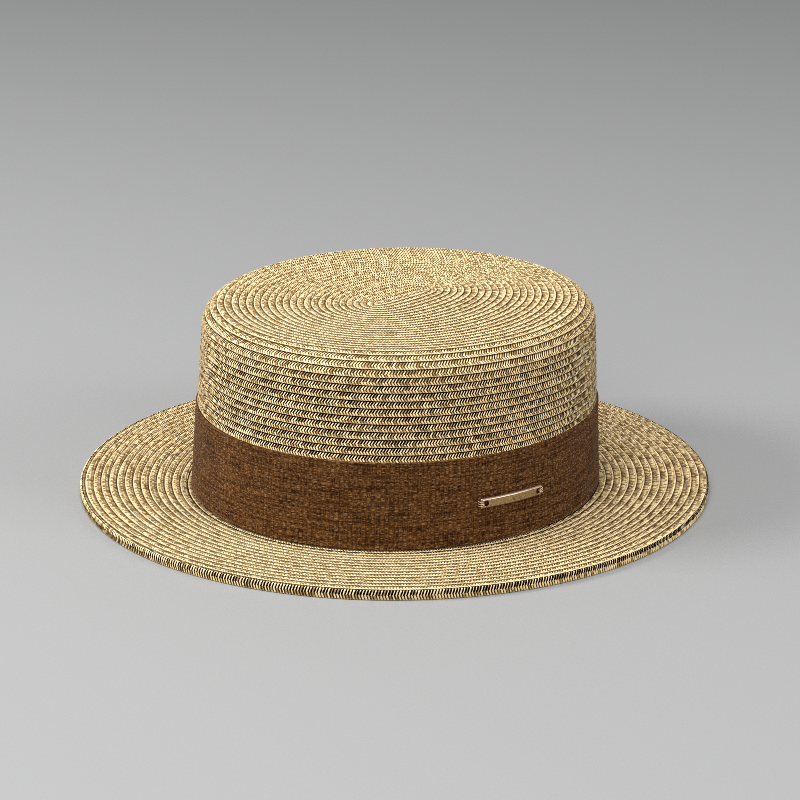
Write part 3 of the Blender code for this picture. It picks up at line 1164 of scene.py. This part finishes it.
@dataclass
class Plate:
    """The small metal bar on the ribbon, bent to its curve, and the thread loops that hold it."""

    shape: HatShape = SHAPE
    finish: SatinMetalFinish = SatinMetalFinish()
    thread: ThreadFinish = ThreadFinish()
    length: float = 0.034
    width: float = 0.0046
    thickness: float = 0.0010
    azimuth: float = math.radians(77)
    share_up_band: float = 0.46
    off_crown: float = 0.0010
    hole: float = 0.0026
    inset: float = 0.0026
    easing: float = 0.00012
    corner: float = 0.0004
    bevel: float = 0.00072
    bevel_drop: float = 0.00060
    back_easing: tuple[float, float] = (0.0002, 0.00008)
    thread_steps: int = 26
    thread_sides: int = 8
    thread_radius: float = 0.00014
    thread_along: tuple[float, ...] = (0.00108, 0.00114, 0.0016, 0.0025, 0.0031, 0.0033)
    thread_out: tuple[float, ...] = (0.0, 0.0011, 0.00127, 0.00125, 0.0004, -0.0006)
    middle_lift: float = 0.00004
    twists_per_step: float = 0.35

    def placed(self, local: np.ndarray) -> np.ndarray:
        """Bends and places points on the hat.

        The bar lies on a circle of the ribbon's own curvature: x = (r + out) sin(along / r), y = (r +
        out) cos(along / r) - r. It then leans with the crown's side, turns to face outwards and moves
        to its place on the ribbon.

        Args:
            local: Points given as (along the bar, out of the ribbon, up the bar).

        Returns:
            The points in the hat's frame.
        """
        shape = self.shape
        up = shape.band_foot + (shape.band_top - shape.band_foot) * self.share_up_band
        across = shape.side_at(up) + shape.clearance + self.off_crown
        long = across + shape.lengthening
        sine, cosine = math.sin(self.azimuth), math.cos(self.azimuth)
        touch = Vector((across * sine, -long * cosine, up))
        outward = Vector((sine / across, -cosine / long, 0.0)).normalized()
        bend = math.hypot(across * cosine, long * sine) ** 3 / (across * long)
        turn, reach = local[..., 0] / bend, bend + local[..., 1]
        bent = np.stack([reach * np.sin(turn), reach * np.cos(turn) - bend, local[..., 2]], -1)
        face = math.atan2(outward.y, outward.x) - math.pi / 2
        turned = Matrix.Rotation(face, 3, "Z") @ Matrix.Rotation(shape.lean, 3, "X")
        return bent @ np.array(turned).T + np.array(touch + outward * shape.clearance)

    def outline(self, inset: float) -> np.ndarray:
        """Half the bar's outline, from its middle round one rounded end and back along the middle.

        Args:
            inset: How far the outline is moved in.

        Returns:
            Points as (along, up).
        """
        half, tall = self.length / 2 - inset, self.width / 2 - inset
        soft = max(self.corner - inset * 0.4, 0.0001)
        run = np.linspace(0.0, 1.0, 14)[:-1]
        turn = np.linspace(0, math.pi / 2, 6)
        top = np.stack([-run * (half - soft), np.full_like(run, tall)], -1)
        bend = np.stack([-(half - soft) - soft * np.sin(turn), tall - soft + soft * np.cos(turn)], -1)
        fall = np.linspace(tall - soft, -(tall - soft), 7)[1:-1]
        rise = np.linspace(-tall, tall, 9)[1:-1]
        end = np.stack([np.full_like(fall, -half), fall], -1)
        middle = np.stack([np.zeros_like(rise), rise], -1)
        lower = np.concatenate([top, bend])[::-1] * [1, -1]
        return np.concatenate([top, bend, end, lower, middle])

    def half_bar(self) -> tuple[np.ndarray, np.ndarray]:
        """Rings from the hole's back edge, through it, over the face, down the bevel and to the back.

        Each ring is the hole's circle, the outline moved in, or a share of the way between, at a height
        above the back. The hole's edge is a quarter round; at share s down the bevel the inset is bevel
        (1 - s) and the height thickness - drop s^1.3.

        Returns:
            Points as (along, out, up), rings x places x 3, and their places on the bar in millimetres.
        """
        border = self.outline(0.0)
        centre = np.array([-(self.length / 2 - self.inset), 0.0])
        rays = border - centre
        rays = rays / np.linalg.norm(rays, axis=1, keepdims=True)
        back = (centre + rays * self.hole / 2, 0.0)
        rings = [back]
        for turn in np.linspace(0, math.pi / 2, 5):
            wide = self.hole / 2 + self.easing * (1 - math.cos(turn))
            rings.append((centre + rays * wide, self.thickness - self.easing * (1 - math.sin(turn))))
        first, last = rings[-1][0], self.outline(self.bevel)
        for share in np.linspace(0, 1, 14)[1:]:
            rings.append((first + (last - first) * share, self.thickness))
        for share in np.linspace(0, 1, 5)[1:]:
            drop = self.bevel_drop * share**1.3
            rings.append((self.outline(self.bevel * (1 - share)), self.thickness - drop))
        inset, lift = self.back_easing
        rings += [(border, lift), (self.outline(inset), 0.0), back]
        flat = np.stack([ring for ring, _ in rings])
        out = np.array([depth for _, depth in rings])[:, None].repeat(flat.shape[1], 1)
        return np.stack([flat[..., 0], out, flat[..., 1]], -1), flat * MILLI

    def bar(self) -> bpy.types.Object:
        """The whole bar: a half and its mirror image, joined at the middle.

        Returns:
            The piece.
        """
        local, at = self.half_bar()
        at = np.concatenate([at, at[:, :1]], 1)
        left = Patch.grid(self.placed(local), at[..., 0], at[..., 1])
        right = Patch.grid(self.placed(local * [-1, 1, 1]), -at[..., 0], at[..., 1], flip=True)
        material = self.finish.material("satin_rose_gold")
        return Patch.joined([left, right]).piece("plate_bar", material, sharp=50)

    def thread_tube(self, end: int, lane: int) -> Patch:
        """One thread: a tube along a smooth path that rises out of the hole, crosses the bar's end and
        goes down into the ribbon.

        The path is along = a(t), out = o(t), up = fan(t), interpolated between thread_along's and
        thread_out's places and smoothed, and the tube is path + radius (side cos(round) + lift
        sin(round)).

        Args:
            end: The bar's end, -1 or 1.
            lane: The thread's place in the fan, -1, 0 or 1.

        Returns:
            The tube, open at both ends.
        """
        t = np.linspace(0, 1, self.thread_steps)
        knots = np.linspace(0, 1, 6)
        along_at = self.length / 2 - self.inset + np.array(self.thread_along)
        along, out = np.interp(t, knots, along_at), np.interp(t, knots, self.thread_out)
        for _ in range(2):
            along[1:-1] = (along[:-2] + 2 * along[1:-1] + along[2:]) / 4
            out[1:-1] = (out[:-2] + 2 * out[1:-1] + out[2:]) / 4
        fan = lane * np.interp(t, [0, 0.35, 1], [0.00034, 0.00060, 0.00120])
        path = np.stack([end * along, out + self.middle_lift * (lane == 0), fan], -1)
        way = np.gradient(path, axis=0)
        way /= np.linalg.norm(way, axis=1, keepdims=True)
        side = np.cross(way, [0.0, 0.0, 1.0])
        side /= np.linalg.norm(side, axis=1, keepdims=True)
        lift = np.cross(side, way)
        turn = full_turn(self.thread_sides)[None, :, None]
        ring = side[:, None] * np.cos(turn) + lift[:, None] * np.sin(turn)
        tube = self.placed(path[:, None] + self.thread_radius * ring)
        around = np.arange(self.thread_sides + 1) / self.thread_sides
        return Patch.grid(tube, around, np.arange(self.thread_steps)[:, None] * self.twists_per_step)

    def threads(self) -> bpy.types.Object:
        """Three thread loops at each end of the bar, with their tubes' ends closed.

        Returns:
            All six, as one piece.
        """
        tubes = [self.thread_tube(end, lane) for end in (-1, 1) for lane in (-1, 0, 1)]
        piece = Patch.joined(tubes).piece("plate_threads", self.thread.material("tan_thread"))
        work = bmesh.new()
        work.from_mesh(piece.data)
        bmesh.ops.holes_fill(work, edges=[edge for edge in work.edges if edge.is_boundary], sides=0)
        bmesh.ops.recalc_face_normals(work, faces=work.faces)
        work.to_mesh(piece.data)
        work.free()
        return piece

    def build(self) -> list[bpy.types.Object]:
        """Builds the bar and its threads."""
        return [self.bar(), self.threads()]


@dataclass(frozen=True)
class Lamp:
    """A square area light. Its place is as the camera sees it: to its right, away from it, and up."""

    name: str
    place: tuple[float, float, float]
    size: float
    power: float
    colour: Colour = (1.0, 0.98, 0.95)


@dataclass
class Studio:
    """A plain pale floor, soft lights and the camera."""

    distance: float = 1.41740
    elevation: float = 0.324899
    heading: float = 0.853421
    aim_right: float = 0.000828
    aim_up: float = 0.039567
    roll: float = 0.023218
    focal_pixels: float = 3100.0
    image_pixels: float = 800.0
    sensor_width: float = 36.0
    floor_reach: float = 6.0
    floor_colour: Colour = (0.27, 0.277, 0.284)
    world_colour: Colour = (0.90, 0.89, 0.88)
    world_strength: float = 0.36
    lit_height: float = 0.03
    lamps: tuple[Lamp, ...] = (
        Lamp("window", (-1.45, -0.15, 1.00), 0.60, 25.0),
        Lamp("overhead", (-0.1, -0.30, 1.80), 1.2, 21.0),
        Lamp("front", (-0.35, -1.50, 0.95), 1.0, 14.0),
        Lamp("fill", (1.50, -0.55, 0.90), 0.8, 12.5),
    )

    def camera(self) -> None:
        """The camera, at the photograph's angle, with its picture turned a little clockwise."""
        sine, cosine = math.sin(self.heading), math.cos(self.heading)
        right, ahead = Vector((sine, cosine, 0.0)), Vector((-cosine, sine, 0.0))
        look = ahead * math.cos(self.elevation) - Vector((0, 0, math.sin(self.elevation)))
        up = right.cross(look)
        place = right * self.aim_right + Vector((0, 0, self.aim_up)) - look * self.distance
        turned = right * math.cos(self.roll) + up * math.sin(self.roll)
        raised = up * math.cos(self.roll) - right * math.sin(self.roll)
        data = bpy.data.cameras.new("camera")
        data.sensor_width = self.sensor_width
        data.lens = self.sensor_width * self.focal_pixels / self.image_pixels
        data.clip_start, data.clip_end = 0.05, 30.0
        camera = placed_object("camera", data)
        frame_of = Matrix((turned, raised, -look)).transposed().to_4x4()
        camera.matrix_world = Matrix.Translation(place) @ frame_of
        bpy.context.scene.camera = camera

    def light(self, lamp: Lamp) -> None:
        """Hangs a lamp so that it faces the hat.

        Args:
            lamp: The lamp.
        """
        data = bpy.data.lights.new(lamp.name, "AREA")
        data.shape, data.size, data.energy, data.color = "SQUARE", lamp.size, lamp.power, lamp.colour
        sine, cosine = math.sin(self.heading), math.cos(self.heading)
        across, away, up = lamp.place
        place = Vector((sine * across - cosine * away, cosine * across + sine * away, up))
        toward = Vector((0, 0, self.lit_height)) - place
        facing = toward.to_track_quat("-Z", "Y").to_matrix().to_4x4()
        placed_object(lamp.name, data).matrix_world = Matrix.Translation(place) @ facing

    def floor(self) -> None:
        """A wide level sheet at the hat's foot, in plain pale grey."""
        mesh = bpy.data.meshes.new("floor")
        reach = self.floor_reach
        corners = [(-reach, -reach, 0.0), (reach, -reach, 0.0), (reach, reach, 0.0), (-reach, reach, 0.0)]
        mesh.from_pydata(corners, [], [(0, 1, 2, 3)])
        tree = NodeTree("pale_floor")
        values = {"Base Color": (*self.floor_colour, 1), "Roughness": 0.75, "Specular IOR Level": 0.2}
        tree.feed(tree.shader, values)
        mesh.materials.append(tree.material)
        placed_object("floor", mesh)

    def build(self) -> None:
        """Sets up floor, lights, surroundings, colour settings and camera."""
        self.floor()
        for lamp in self.lamps:
            self.light(lamp)
        scene, world = bpy.context.scene, bpy.data.worlds.new("studio")
        world.use_nodes = True
        ground = world.node_tree.nodes["Background"]
        ground.inputs["Color"].default_value = (*self.world_colour, 1)
        ground.inputs["Strength"].default_value = self.world_strength
        scene.world = world
        scene.view_settings.view_transform = "Standard"
        scene.view_settings.look = "Medium High Contrast"
        scene.cycles.filter_width = 0.8
        scene.cycles.use_denoising = False
        self.camera()


def report(group: str, pieces: list[bpy.types.Object], slots: list[Slot]) -> None:
    """Makes pieces ride on the hat and logs their sizes.

    Args:
        group: The sub-assembly's name.
        pieces: Its pieces.
        slots: The material slot of each; not used.
    """
    for piece, slot in zip(pieces, slots):
        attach(piece, "root")
        triangles = sum(len(face.vertices) - 2 for face in piece.data.polygons)
        size = [round(MILLI * x, 1) for x in piece.dimensions]
        LOG.info("%s: %s, %d triangles, %s mm", group, piece.name, triangles, size)


def main() -> None:
    """Builds the hat's pieces in order, puts them in the CAD nodes' places and sets up the studio."""
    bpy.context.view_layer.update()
    straw = Slot.STRAW
    crown = Crown().build()
    report("crown", crown, [straw] * len(crown))
    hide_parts("crown")
    brim = Brim().build()
    report("brim", brim, [straw] * len(brim))
    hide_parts("brim")
    edge = EdgeRow().build()
    report("edge row", edge, [straw])
    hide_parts("brim_edge")
    ribbon = Ribbon().build()
    report("ribbon", ribbon, [Slot.RIBBON] * 2)
    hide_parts("band")
    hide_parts("band_lap")
    plate = Plate().build()
    report("plate", plate, [Slot.METAL, Slot.RIBBON])
    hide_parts("plate")
    Studio().build()


if __name__ == "__main__":
    main()
